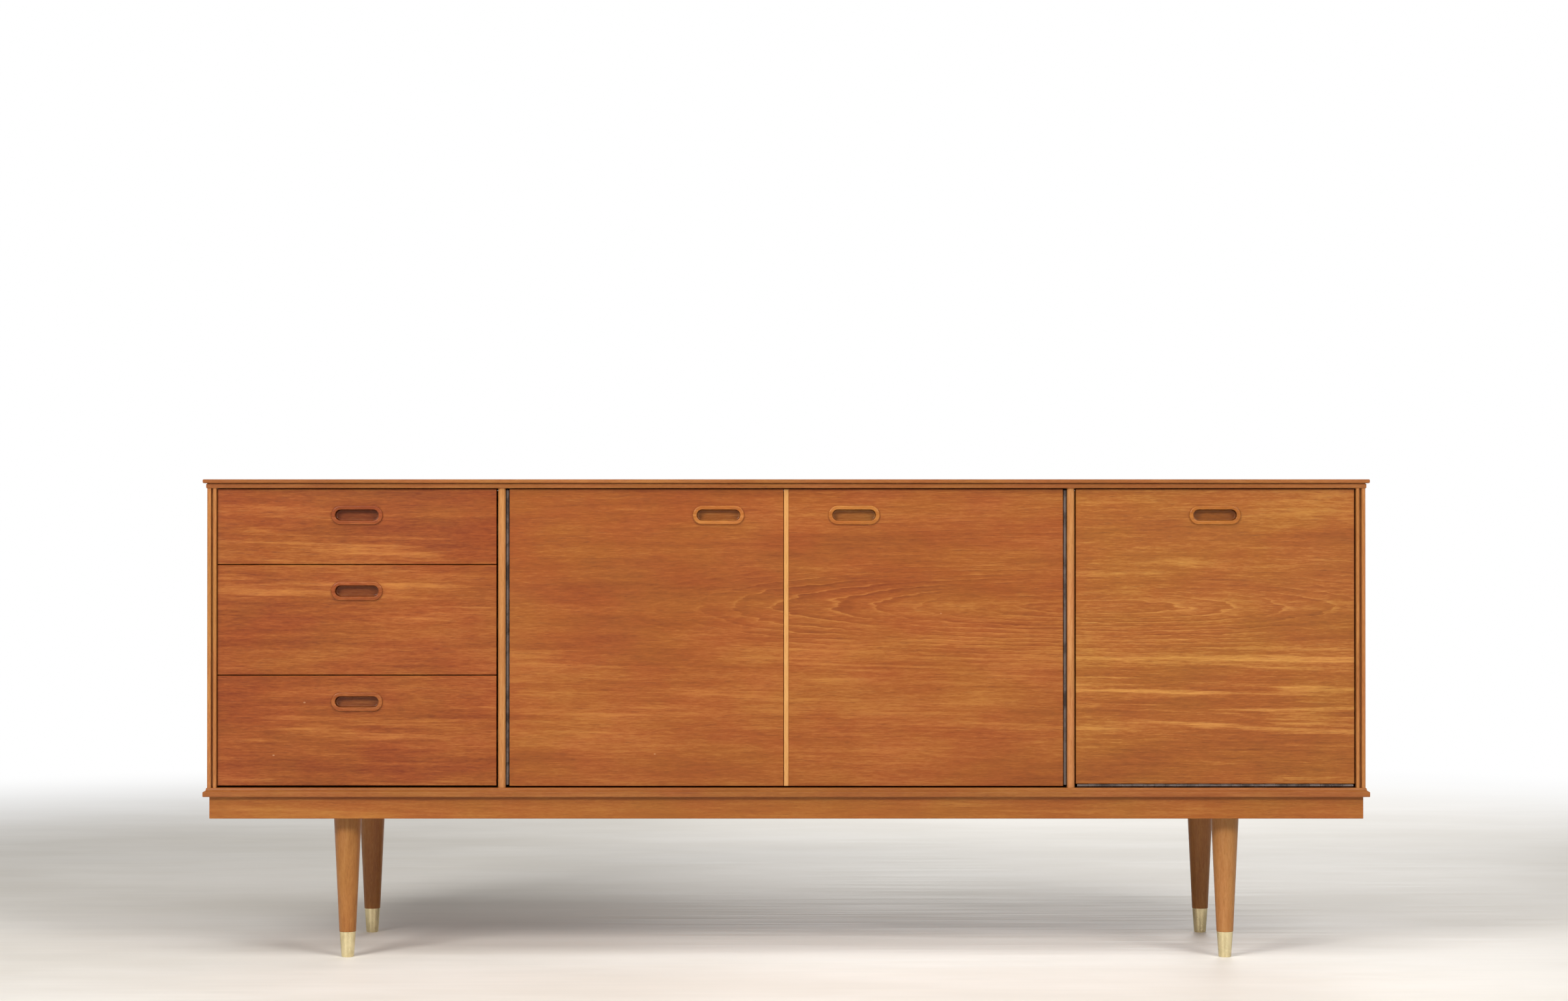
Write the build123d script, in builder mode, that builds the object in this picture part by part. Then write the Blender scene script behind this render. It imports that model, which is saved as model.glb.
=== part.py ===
from build123d import *
from math import asin, cos, degrees, radians, sin, sqrt
import os

# Low sideboard: three drawers, a pair of doors and a drop flap, on turned legs.
#
# Millimetres. The origin is on the floor under the middle of the case. +X is to the
# right of someone facing the fronts, the fronts face -Y, and +Z is up.

os.makedirs("parts", exist_ok=True)

# ------------------------------------------------------------------ overall sizes
WIDTH = 1830.0  # over the noses of the top moulding
DEPTH = 450.0  # front nose to the back edge of the top
HEIGHT = 756.0  # floor to the top face
LEG_HEIGHT = 258.0  # floor to the underside of the case

# ------------------------------------------------------------------ case
BOARD = 14.0  # top and bottom boards
SIDE = 14.5  # side panels
DIVIDER = 12.0
BACK = 5.0
OVERHANG = 6.0  # moulding noses past the side panels, and past their front edges
TOP_OVERHANG_BACK = 3.0  # top and bottom boards past the side panels at the back
BACK_SETBACK = 3.0  # back panel inside the side panels' back edges
REBATE = 7.0  # width of the side panels' rebates for the back panel
REBATE_CLEARANCE = 0.5
LIPPING = 18.0  # width of the solid lippings round the top and bottom boards
MITRE_GAP = 0.1  # glue line in the lippings' mitred corners
EDGE_LIPPING = 10.0  # depth of the side panels' front lippings
SIDE_BAY = 441.7  # clear width of the drawer bay and of the flap bay
DIVIDER_LIPPING = 8.0
BULLNOSE_FLAT = 0.5
DIVIDER_SETBACK = 1.5  # dividers behind the side panels' front edges
CREASE = 0.6  # small broken edges on boards

# side panels' stepped front edge: an outer strip, a groove, an inner strip
STRIP_OUTER = 6.0
STRIP_GROOVE = 3.4
STRIP_GROOVE_DEPTH = 6.0
STRIP_ROUND = 1.2

# ------------------------------------------------------------------ fronts
FRONT = 16.0  # thickness of drawer fronts, doors and flap
FRONT_SETBACK = 6.0  # fronts behind the side panels' front edges
TOP_GAP = 1.2
DRAWER_GAP = 1.5  # between one drawer front and the next
DRAWER_GAP_BOTTOM = 3.2
DRAWER_GAP_OUTER = 0.8
DRAWER_GAP_INNER = 2.6
TOP_DRAWER = 117.8  # height of the top drawer's front
DOOR_GAP_BOTTOM = 2.5
FLAP_GAP_SIDE = 2.0
MEETING_STRIP = 7.2
MEETING_STRIP_PROUD = 0.6
MEETING_GAP = 0.7

# ------------------------------------------------------------------ handles
HANDLE_LENGTH = 81.0
HANDLE_HEIGHT = 30.0
HANDLE_RIM = 6.4  # width of the rim round the finger recess
HANDLE_PROUD = 3.4
HANDLE_LEDGE = 3.5  # rim past the pocket in the front
HANDLE_RECESS = 13.0
HANDLE_FLOOR = 3.0
HANDLE_DROP = 40.9  # handle centre below the top of its front
DOOR_HANDLE_X = 106.5

RIM_ROUND = 0.6  # rounding of the rim, as a share of how proud it stands
MOUTH_ROUND = 1.4
FLOOR_ROUND = 2.5

# ------------------------------------------------------------------ drawers
DRAWER_SPACE = 26.0  # between the drawers and the back panel
DRAWER_SIDE = 12.0
DRAWER_INSET = 1.0  # box inside the ends of its front
DRAWER_LIFT = 10.0  # box above the bottom edge of its front
DRAWER_FREEBOARD = 12.0  # box below the top edge of its front
DRAWER_BACK_DROP = 6.0
DRAWER_BASE = 4.0
BASE_HEIGHT = 8.0  # underside of the drawer base above the box's bottom edge
GROOVE = 6.0  # depth of the grooves for the drawer base
RUNNER_HEIGHT = 18.0
RUNNER_BITE = 6.0  # runner inside the drawer side's groove
RUNNER_CLEARANCE = 0.4
RUNNER_START = 10.0  # runner behind the drawer front
RUNNER_STOP = 0.5  # runner in front of it to the end of its groove
RUNNER_SHORT = 6.0  # runner short of the back panel
RUNNER_RISE = 0.45  # runner's middle, as a share of the box's height

# ------------------------------------------------------------------ shelf
SHELF = 16.0
SHELF_HEIGHT = 222.0  # shelf's underside above the bottom board
SHELF_SETBACK = 12.0  # shelf behind the doors
SHELF_CLEARANCE = 1.0
SHELF_PIN_R = 2.5
SHELF_PIN_DEEP = 8.0
SHELF_PIN_OUT = 9.0
SHELF_PIN_INSET = 45.0

# ------------------------------------------------------------------ piano hinges
HINGE_GAP = 6.0
KNUCKLE_CLEARANCE = 0.5  # knuckles from the boards each side of the gap
HINGE_PIN_R = 1.1
PIN_FIT = 0.05  # radial running clearance of the knuckles on the pin
LEAF = 1.2
LEAF_SHORT = 1.0  # leaves short of the fronts' back faces
LEAF_NOTCH = 0.4  # a leaf's notches clear of the other leaf's knuckles
KNUCKLE_PITCH = 18.0
KNUCKLE_GAP = 0.4
HINGE_SHORT = 2.0  # hinge short of its door at each end
HINGE_SINK = 1.0  # hinge axis behind the fronts

# ------------------------------------------------------------------ screws, one size
SCREW_COVER = 1.2  # wood left beyond the point of a screw through a leaf into a divider
SCREW_R = 1.5
SCREW_HEAD_R = 3.0
SCREW_POINT = 3.0
SLOT_WIDTH = 0.7
SLOT_DEPTH = 0.7
BACK_SCREWS = 5  # in each row down the back panel
BACK_SCREW_MARGIN = 30.0
RUNNER_SCREWS = 3
RUNNER_SCREW_MARGIN = 25.0
RUNNER_SCREW_SEAT = 5.0  # wood of the runner left under a screw's head
HINGE_SCREWS = 7
HINGE_SCREW_MARGIN = 20.0
HINGE_SCREW_EDGE = 1.5  # screw heads inside a leaf's free edge

# ------------------------------------------------------------------ catches, flap stay
CATCH_LENGTH = 46.0
CATCH_DEPTH = 15.0
CATCH_HEIGHT = 13.0
CATCH_GAP = 0.4
CATCH_FROM_EDGE = 56.0
STRIKE = 1.2
STRIKE_LENGTH = 30.0
STRIKE_HEIGHT = 9.0
STAY_RADIUS = 170.0  # flap hinge to each of the stay's two pivots
STAY_ANGLE = 40.0  # between those two pivots, flap shut
STAY_THICK = 2.0
STAY_WIDTH = 14.0
STAY_PIN_R = 3.0
STAY_PIN_FIT = 0.05
STAY_SLOT_CLEARANCE = 0.4
STAY_STANDOFF = 12.0  # lower pivot behind the flap's inner face
STAY_CLEARANCE = 4.0  # arm inside the side panel's bracket
BRACKET = 1.5
BRACKET_WIDTH = 16.0
BRACKET_SCREW = 14.0  # bracket's screws from its pin
BRACKET_END = 6.0  # bracket past its screws
PIN_HEAD = 1.6
PIN_HEAD_R = 5.0
PIN_HEAD_GAP = 0.4
FLAP_BRACKET_WIDTH = 24.0

# ------------------------------------------------------------------ under the case
APRON = 15.0
APRON_HEIGHT = 34.6
APRON_SETBACK = 9.3  # apron behind the noses
LEG_X_INSET = 219.5  # leg centres inside the ends' noses
LEG_Y_INSET = 65.0  # leg centres inside the front and back noses
LEG_TOP_R = 23.4
LEG_FOOT_R = 13.25
FERRULE_HEIGHT = 40.0
FERRULE_TOP_R = 12.9
FERRULE_FOOT_R = 9.9
FERRULE_WALL = 1.0
FERRULE_BASE = 2.0
PLATE = 2.5
PLATE_SIDE = 66.0
PLATE_SCREW_INSET = 7.5
BOLT_R = 4.0
BOLT_IN_LEG = 34.0

# ------------------------------------------------------------------ derived places
nose_x = WIDTH / 2
nose_front = -DEPTH / 2
board_back = DEPTH / 2
side_outer = nose_x - OVERHANG
side_inner = side_outer - SIDE
side_front = nose_front + OVERHANG
side_back = board_back - TOP_OVERHANG_BACK
back_rear = side_back - BACK_SETBACK
back_front = back_rear - BACK
bay_inner = side_inner - SIDE_BAY
centre_half = bay_inner - DIVIDER
bottom_under = LEG_HEIGHT
bottom_top = LEG_HEIGHT + BOARD
top_under = HEIGHT - BOARD
front_face = side_front + FRONT_SETBACK
front_back = front_face + FRONT
front_top = top_under - TOP_GAP
hinge_y = front_face + HINGE_SINK
hinge_half = HINGE_GAP / 2
knuckle_r = hinge_half - KNUCKLE_CLEARANCE
leaf_width = FRONT - HINGE_SINK - LEAF_SHORT
screw_length = LEAF + DIVIDER - SCREW_COVER
leg_x = nose_x - LEG_X_INSET
leg_y = DEPTH / 2 - LEG_Y_INSET
box_back = back_front - DRAWER_SPACE


def save(piece, name):
    """Labels a finished piece and writes it."""
    piece.part.label = name
    export_step(piece.part, f"parts/{name}.step")


def slab(x, y, z, mode=Mode.ADD):
    """A box between pairs of limits, for the part being built."""
    with Locations(((x[0] + x[1]) / 2, (y[0] + y[1]) / 2, (z[0] + z[1]) / 2)):
        Box(abs(x[1] - x[0]), abs(y[1] - y[0]), abs(z[1] - z[0]), mode=mode)


def mirrored(x):
    """A pair of limits on the other side of the case."""
    return (-x[1], -x[0])


# ================================================================== screws
with BuildPart() as screw_blank:
    with BuildSketch(Plane.XZ):
        with BuildLine():
            Polyline(
                (0, 0),
                (SCREW_HEAD_R, 0),
                (SCREW_R, -(SCREW_HEAD_R - SCREW_R)),
                (SCREW_R, SCREW_POINT - screw_length),
                (0, -screw_length),
                close=True,
            )
        make_face()
    revolve(axis=Axis.Z)

with BuildPart() as wood_screw:
    add(screw_blank.part)
    with Locations((0, 0, -SLOT_DEPTH / 2)):
        Box(2 * SCREW_HEAD_R, SLOT_WIDTH, SLOT_DEPTH, mode=Mode.SUBTRACT)


def screw_holes(places):
    """Cuts the screws' exact shapes from the part being built."""
    with Locations(*places):
        add(screw_blank.part, mode=Mode.SUBTRACT)


def spread(low, high, count, margin):
    """Evenly spaced places from margin inside low to margin inside high."""
    step = (high - low - 2 * margin) / (count - 1)
    return [low + margin + i * step for i in range(count)]


# ================================================================== places of screws
# every screw's plane has its normal along the head, away from the wood
leg_points = [(x, y) for x in (-leg_x, leg_x) for y in (-leg_y, leg_y)]
plate_under = bottom_under - PLATE
plate_screw = PLATE_SIDE / 2 - PLATE_SCREW_INSET
plate_places = [
    Plane((x + dx, y + dy, plate_under), z_dir=(0, 0, -1))
    for x, y in leg_points
    for dx in (-plate_screw, plate_screw)
    for dy in (-plate_screw, plate_screw)
]

back_places = [
    Plane((sign * x, back_rear, z), z_dir=(0, 1, 0))
    for sign in (-1, 1)
    for x in (side_inner + REBATE / 2, bay_inner - DIVIDER / 2)
    for z in spread(bottom_top, top_under, BACK_SCREWS, BACK_SCREW_MARGIN)
]

# ================================================================== drawers, as sizes
left_bay = (-side_inner, -bay_inner)
drawer_x = (left_bay[0] + DRAWER_GAP_OUTER, left_bay[1] - DRAWER_GAP_INNER)
drawer_bottom = bottom_top + DRAWER_GAP_BOTTOM
deep_drawer = (front_top - TOP_DRAWER - drawer_bottom - 2 * DRAWER_GAP) / 2
drawer_z = {
    "bottom_drawer": (drawer_bottom, drawer_bottom + deep_drawer),
    "middle_drawer": (drawer_bottom + deep_drawer + DRAWER_GAP, front_top - TOP_DRAWER - DRAWER_GAP),
    "top_drawer": (front_top - TOP_DRAWER, front_top),
}
box_x = (drawer_x[0] + DRAWER_INSET, drawer_x[1] - DRAWER_INSET)


def runner_z(z):
    """Limits of a runner, for a drawer front between the limits z."""
    low = z[0] + DRAWER_LIFT
    high = z[1] - DRAWER_FREEBOARD
    middle = low + RUNNER_RISE * (high - low)
    return (middle - RUNNER_HEIGHT / 2, middle + RUNNER_HEIGHT / 2)


runner_y = (front_back + RUNNER_START, back_front - RUNNER_SHORT)
runner_left_x = (left_bay[0], box_x[0] + RUNNER_BITE)
runner_right_x = (box_x[1] - RUNNER_BITE, left_bay[1])
runner_places = [
    Plane((wall - side * RUNNER_SCREW_SEAT, y, sum(runner_z(z)) / 2), z_dir=(-side, 0, 0))
    for wall, side in ((left_bay[0], -1), (left_bay[1], 1))
    for z in drawer_z.values()
    for y in spread(runner_y[0], runner_y[1], RUNNER_SCREWS, RUNNER_SCREW_MARGIN)
]

# ================================================================== hinges, as frames
# A hinge is drawn lying along +Z from 0, axis at the origin, with the case leaf on
# the low side of X and the moving leaf on the high side, both running to +Y.
door_z = (bottom_top + DOOR_GAP_BOTTOM, front_top)
flap_x = (bay_inner + FLAP_GAP_SIDE, side_inner - FLAP_GAP_SIDE)
flap_z = (bottom_top + HINGE_GAP, front_top)
door_hinge_x = centre_half - hinge_half
door_hinge_length = door_z[1] - door_z[0] - 2 * HINGE_SHORT
flap_hinge_length = flap_x[1] - flap_x[0] - 2 * HINGE_SHORT
flap_hinge_z = bottom_top + hinge_half
left_hinge = Plane(
    (-door_hinge_x, hinge_y, door_z[0] + HINGE_SHORT), x_dir=(1, 0, 0), z_dir=(0, 0, 1)
)
right_hinge = Plane(
    (door_hinge_x, hinge_y, door_z[1] - HINGE_SHORT), x_dir=(-1, 0, 0), z_dir=(0, 0, -1)
)
flap_hinge = Plane(
    (flap_x[1] - HINGE_SHORT, hinge_y, flap_hinge_z), x_dir=(0, 0, 1), z_dir=(-1, 0, 0)
)
hinge_frames = {
    "left": (left_hinge, door_hinge_length),
    "right": (right_hinge, door_hinge_length),
    "flap": (flap_hinge, flap_hinge_length),
}
leaf_screw_y = leaf_width - SCREW_HEAD_R - HINGE_SCREW_EDGE


def leaf_places(length, side):
    """Screws of one leaf in its hinge's own frame; side is -1 on the case, 1 on the door."""
    inner = side * (hinge_half - LEAF)
    return [
        Plane((inner, leaf_screw_y, z), z_dir=(-side, 0, 0))
        for z in spread(0, length, HINGE_SCREWS, HINGE_SCREW_MARGIN)
    ]


def in_frame(frame, places):
    """The same planes, carried from a hinge's own frame to the case."""
    return [Plane(frame.location * place.location) for place in places]


def hinge_places(key, side):
    frame, length = hinge_frames[key]
    return in_frame(frame, leaf_places(length, side))


def hinge_leaf(key, side):
    """One leaf of a piano hinge with every other knuckle; the pin is tight in the case's."""
    frame, length = hinge_frames[key]
    count = 2 * round(length / KNUCKLE_PITCH / 2) + 1
    pitch = length / count
    own = range(0, count, 2) if side < 0 else range(1, count, 2)
    plate_inner = hinge_half - LEAF
    notch = sqrt((knuckle_r + LEAF_NOTCH) ** 2 - plate_inner**2)
    plate_x = (plate_inner, hinge_half) if side > 0 else (-hinge_half, -plate_inner)
    with BuildPart() as leaf:
        slab(plate_x, (notch, leaf_width), (0, length))
        for i in own:
            low = i * pitch + (KNUCKLE_GAP / 2 if i > 0 else 0)
            high = (i + 1) * pitch - (KNUCKLE_GAP / 2 if i < count - 1 else 0)
            slab(plate_x, (0, notch), (low, high))
            with Locations((0, 0, (low + high) / 2)):
                Cylinder(knuckle_r, high - low)
        with Locations((0, 0, length / 2)):
            Cylinder(HINGE_PIN_R + (PIN_FIT if side > 0 else 0), length, mode=Mode.SUBTRACT)
        with Locations(*leaf_places(length, side)):
            add(screw_blank.part, mode=Mode.SUBTRACT)
    with BuildPart() as placed:
        with Locations(frame):
            add(leaf.part)
    return placed


case_hinge_places = hinge_places("left", -1) + hinge_places("right", -1) + hinge_places("flap", -1)
# ================================================================== flap stay, as places
# The pivot on the flap and the pin on the side panel are equally far from the flap's
# hinge, so the arm between them always turns by half the flap's angle.
pivot_lean = degrees(asin((front_back + STAY_STANDOFF - hinge_y) / STAY_RADIUS))
pin_lean = pivot_lean + STAY_ANGLE


def round_hinge(lean):
    """A point at the stay's radius from the flap's hinge, leaning back from upright."""
    return (
        hinge_y + STAY_RADIUS * sin(radians(lean)),
        flap_hinge_z + STAY_RADIUS * cos(radians(lean)),
    )


pivot_y, pivot_z = round_hinge(pivot_lean)
pin_y, pin_z = round_hinge(pin_lean)
stay_shut = 2 * STAY_RADIUS * sin(radians(STAY_ANGLE / 2))
stay_open = 2 * STAY_RADIUS * sin(radians(STAY_ANGLE / 2 + 45))
bracket_x = (side_inner - BRACKET, side_inner)
arm_x = (bracket_x[0] - STAY_CLEARANCE - STAY_THICK, bracket_x[0] - STAY_CLEARANCE)
bracket_places = [
    Plane((bracket_x[0], pin_y, pin_z + sign * BRACKET_SCREW), z_dir=(-1, 0, 0)) for sign in (-1, 1)
]
case_screw_places = plate_places + back_places + runner_places + case_hinge_places + bracket_places


# ================================================================== top and bottom boards
def top_profile():
    """Outline of the top moulding; X is outward from the board, Y is up from its underside."""
    nose = LIPPING
    bead = LIPPING - OVERHANG + 1.3
    return [
        (0, 0),
        (bead - 1.0, 0),
        (bead - 0.3, 0.4),
        (bead, 1.2),
        (bead, 6.2),
        (bead - 0.3, 6.8),
        (bead - 1.3, 7.0),
        (bead - 1.3, 7.6),
        (nose - 1.6, 7.9),
        (nose - 0.4, 8.5),
        (nose, 9.4),
        (nose, BOARD - 1.4),
        (nose - 0.4, BOARD - 0.4),
        (nose - 1.2, BOARD),
        (0, BOARD),
    ]


def bottom_profile():
    """Outline of the bottom moulding, a nose with a bevel and a small bead above it."""
    nose = LIPPING
    return [
        (0, 0),
        (nose - 0.8, 0),
        (nose, 0.8),
        (nose, 7.2),
        (nose - 0.5, 7.8),
        (nose - 4.3, 10.0),
        (nose - 4.3, 11.2),
        (nose - 4.8, 13.2),
        (nose - 5.8, BOARD),
        (0, BOARD),
    ]


def lippings(outline, under):
    """The front and side lippings of a board, mitred at its front corners."""
    inner_x = nose_x - LIPPING
    inner_y = nose_front + LIPPING
    runs = [
        ((0, inner_y), (0, -1), WIDTH),
        ((inner_x, 0), (1, 0), DEPTH),
        ((-inner_x, 0), (-1, 0), DEPTH),
    ]
    corner_y = nose_front + MITRE_GAP
    inside_y = inner_y + MITRE_GAP
    areas = [
        [(-nose_x, nose_front), (nose_x, nose_front), (inner_x, inner_y), (-inner_x, inner_y)],
        [(nose_x, corner_y), (nose_x, board_back), (inner_x, board_back), (inner_x, inside_y)],
        [(-nose_x, corner_y), (-inner_x, inside_y), (-inner_x, board_back), (-nose_x, board_back)],
    ]
    pieces = []
    for (start, outward, length), area in zip(runs, areas):
        along = (outward[1], -outward[0], 0)
        plane = Plane((start[0], start[1], under), x_dir=(outward[0], outward[1], 0), z_dir=along)
        with BuildPart() as strip:
            with BuildSketch(plane):
                with BuildLine():
                    Polyline(*outline, close=True)
                make_face()
            extrude(amount=length / 2, both=True)
            with BuildSketch(Plane.XY.offset(under)):
                with BuildLine():
                    Polyline(*area, close=True)
                make_face()
            extrude(amount=BOARD, mode=Mode.INTERSECT)
        pieces.append(strip)
    with BuildPart() as group:
        for strip in pieces:
            add(strip.part)
    return group


save(lippings(top_profile(), top_under), "top_lippings")
save(lippings(bottom_profile(), bottom_under), "bottom_lippings")

board_x = (LIPPING - nose_x, nose_x - LIPPING)
board_y = (nose_front + LIPPING, board_back)

with BuildPart() as top_panel:
    slab(board_x, board_y, (top_under, HEIGHT))
save(top_panel, "top_panel")

with BuildPart() as bottom_panel:
    slab(board_x, board_y, (bottom_under, bottom_top))
    screw_holes(plate_places + hinge_places("flap", -1))
save(bottom_panel, "bottom_panel")


# ================================================================== sides, dividers, back
panel_x = (side_inner, side_outer)
case_z = (bottom_top, top_under)
edge_back = side_front + EDGE_LIPPING

for name, side in (("left_side_panel", -1), ("right_side_panel", 1)):
    with BuildPart() as side_panel:
        slab(panel_x if side > 0 else mirrored(panel_x), (edge_back, side_back), case_z)
        rebate_x = (side_inner, side_inner + REBATE)
        slab(rebate_x if side > 0 else mirrored(rebate_x), (back_front, side_back), case_z, Mode.SUBTRACT)
        screw_holes(back_places + (runner_places if side < 0 else bracket_places))
    save(side_panel, name)

with BuildPart() as side_edge_lippings:
    for side in (-1, 1):
        groove_x = (side_outer - STRIP_OUTER - STRIP_GROOVE, side_outer - STRIP_OUTER)
        groove_y = (side_front, side_front + STRIP_GROOVE_DEPTH)
        slab(panel_x if side > 0 else mirrored(panel_x), (side_front, edge_back), case_z)
        slab(groove_x if side > 0 else mirrored(groove_x), groove_y, case_z, Mode.SUBTRACT)
    fillet(
        side_edge_lippings.faces().group_by(Axis.Y)[0].edges().filter_by(Axis.Z), STRIP_ROUND
    )
save(side_edge_lippings, "side_edge_lippings")

divider_x = (centre_half, bay_inner)
lipping_front = side_front + DIVIDER_SETBACK
lipping_back = lipping_front + DIVIDER_LIPPING

with BuildPart() as divider_lippings:
    for side in (-1, 1):
        slab(divider_x if side > 0 else mirrored(divider_x), (lipping_front, lipping_back), case_z)
    fillet(
        divider_lippings.faces().group_by(Axis.Y)[0].edges().filter_by(Axis.Z),
        DIVIDER / 2 - BULLNOSE_FLAT,
    )
save(divider_lippings, "divider_lippings")

shelf_under = bottom_top + SHELF_HEIGHT
shelf_y = (front_back + SHELF_SETBACK, back_front - SHELF_CLEARANCE)
pin_places = [
    Plane((sign * (centre_half + SHELF_PIN_DEEP), y, shelf_under - SHELF_PIN_R), z_dir=(-sign, 0, 0))
    for sign in (-1, 1)
    for y in (shelf_y[0] + SHELF_PIN_INSET, shelf_y[1] - SHELF_PIN_INSET)
]

with BuildPart() as shelf_pin:
    with BuildSketch(Plane.XY):
        Circle(SHELF_PIN_R)
    extrude(amount=SHELF_PIN_DEEP + SHELF_PIN_OUT)
    chamfer(shelf_pin.edges().sort_by(Axis.Z)[-1], CREASE)

with BuildPart() as dividers:
    for side in (-1, 1):
        slab(divider_x if side > 0 else mirrored(divider_x), (lipping_back, back_front), case_z)
    screw_holes(back_places + runner_places + hinge_places("left", -1) + hinge_places("right", -1))
    with Locations(*pin_places):
        add(shelf_pin.part, mode=Mode.SUBTRACT)
save(dividers, "dividers")

with BuildPart() as shelf_pins:
    with Locations(*pin_places):
        add(shelf_pin.part)
save(shelf_pins, "shelf_pins")

with BuildPart() as shelf:
    half = centre_half - SHELF_CLEARANCE
    slab((-half, half), shelf_y, (shelf_under, shelf_under + SHELF))
    fillet(shelf.faces().sort_by(Axis.Y)[0].edges().filter_by(Axis.X), SHELF / 4)
save(shelf, "shelf")

with BuildPart() as back_panel:
    half = side_inner + REBATE - REBATE_CLEARANCE
    back_z = (case_z[0] + REBATE_CLEARANCE, case_z[1] - REBATE_CLEARANCE)
    slab((-half, half), (back_front, back_rear), back_z)
    screw_holes(back_places)
save(back_panel, "back_panel")

with BuildPart() as drawer_runners:
    for z in drawer_z.values():
        slab(runner_left_x, runner_y, runner_z(z))
        slab(runner_right_x, runner_y, runner_z(z))
    screw_holes(runner_places)
    with Locations(*runner_places):
        Cylinder(
            SCREW_HEAD_R,
            SIDE,
            align=(Align.CENTER, Align.CENTER, Align.MIN),
            mode=Mode.SUBTRACT,
        )
save(drawer_runners, "drawer_runners")

with BuildPart() as case_screws:
    with Locations(*case_screw_places):
        add(wood_screw.part)
save(case_screws, "case_screws")

# ================================================================== apron and legs
apron_x = nose_x - APRON_SETBACK
apron_y = DEPTH / 2 - APRON_SETBACK
apron_z = (bottom_under - APRON_HEIGHT, bottom_under)

with BuildPart() as apron_rails:
    for side in (-1, 1):
        slab((-apron_x, apron_x), (side * apron_y, side * (apron_y - APRON)), apron_z)
    chamfer(apron_rails.faces().group_by(Axis.Z)[0].edges(), CREASE)
save(apron_rails, "apron_rails")

with BuildPart() as apron_ends:
    for side in (-1, 1):
        slab((side * apron_x, side * (apron_x - APRON)), (APRON - apron_y, apron_y - APRON), apron_z)
save(apron_ends, "apron_ends")

with BuildPart() as leg_plates:
    with BuildSketch(Plane.XY.offset(plate_under)):
        with Locations(*leg_points):
            RectangleRounded(PLATE_SIDE, PLATE_SIDE, PLATE_SCREW_INSET)
            Circle(BOLT_R, mode=Mode.SUBTRACT)
    extrude(amount=PLATE)
    screw_holes(plate_places)
save(leg_plates, "leg_plates")

with BuildPart() as hanger_bolts:
    with BuildSketch(Plane.XY.offset(plate_under - BOLT_IN_LEG)):
        with Locations(*leg_points):
            Circle(BOLT_R)
    extrude(amount=BOLT_IN_LEG + PLATE)
save(hanger_bolts, "hanger_bolts")


def ferrule_r(z):
    """Outer radius of a ferrule at a height."""
    return FERRULE_FOOT_R + (FERRULE_TOP_R - FERRULE_FOOT_R) * z / FERRULE_HEIGHT


leg_names = ("front_left_leg", "back_left_leg", "front_right_leg", "back_right_leg")
for name, (x, y) in zip(leg_names, leg_points):
    with BuildPart() as leg:
        with BuildSketch(Plane((x, y, 0), x_dir=(1, 0, 0), z_dir=(0, -1, 0))):
            with BuildLine():
                Polyline(
                    (0, FERRULE_BASE),
                    (ferrule_r(FERRULE_BASE) - FERRULE_WALL, FERRULE_BASE),
                    (FERRULE_TOP_R - FERRULE_WALL, FERRULE_HEIGHT),
                    (LEG_FOOT_R - CREASE, FERRULE_HEIGHT),
                    (LEG_FOOT_R, FERRULE_HEIGHT + CREASE),
                    (LEG_TOP_R, plate_under - CREASE),
                    (LEG_TOP_R - CREASE, plate_under),
                    (BOLT_R, plate_under),
                    (BOLT_R, plate_under - BOLT_IN_LEG),
                    (0, plate_under - BOLT_IN_LEG),
                    close=True,
                )
            make_face()
        revolve(axis=Axis((x, y, 0), (0, 0, 1)))
    save(leg, name)

with BuildPart() as ferrule:
    with BuildSketch(Plane.XZ):
        with BuildLine():
            Polyline(
                (0, 0),
                (FERRULE_FOOT_R - FERRULE_WALL, 0),
                (ferrule_r(FERRULE_WALL), FERRULE_WALL),
                (FERRULE_TOP_R, FERRULE_HEIGHT),
                (FERRULE_TOP_R - FERRULE_WALL, FERRULE_HEIGHT),
                (ferrule_r(FERRULE_BASE) - FERRULE_WALL, FERRULE_BASE),
                (0, FERRULE_BASE),
                close=True,
            )
        make_face()
    revolve(axis=Axis.Z)

with BuildPart() as leg_ferrules:
    with Locations(*leg_points):
        add(ferrule.part)
save(leg_ferrules, "leg_ferrules")

# ================================================================== hinges on the case
with BuildPart() as case_hinge_leaves:
    for key in hinge_frames:
        add(hinge_leaf(key, -1).part)
save(case_hinge_leaves, "case_hinge_leaves")

with BuildPart() as hinge_pins:
    for frame, length in hinge_frames.values():
        with Locations(frame):
            Cylinder(HINGE_PIN_R, length, align=(Align.CENTER, Align.CENTER, Align.MIN))
save(hinge_pins, "hinge_pins")

# ================================================================== catches
flap_middle = (flap_x[0] + flap_x[1]) / 2
catch_x = (-CATCH_FROM_EDGE, CATCH_FROM_EDGE, flap_middle)
strike_y = (front_back, front_back + STRIKE)
catch_y = (strike_y[1] + CATCH_GAP, strike_y[1] + CATCH_GAP + CATCH_DEPTH)
strike_middle = top_under - CATCH_HEIGHT / 2
strike_z = (
    min(strike_middle, front_top - STRIKE_HEIGHT / 2) - STRIKE_HEIGHT / 2,
    min(strike_middle, front_top - STRIKE_HEIGHT / 2) + STRIKE_HEIGHT / 2,
)

with BuildPart() as magnetic_catches:
    for x in catch_x:
        slab(
            (x - CATCH_LENGTH / 2, x + CATCH_LENGTH / 2), catch_y, (top_under - CATCH_HEIGHT, top_under)
        )
    chamfer(magnetic_catches.faces().group_by(Axis.Z)[0].edges(), CREASE)
save(magnetic_catches, "magnetic_catches")


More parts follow.
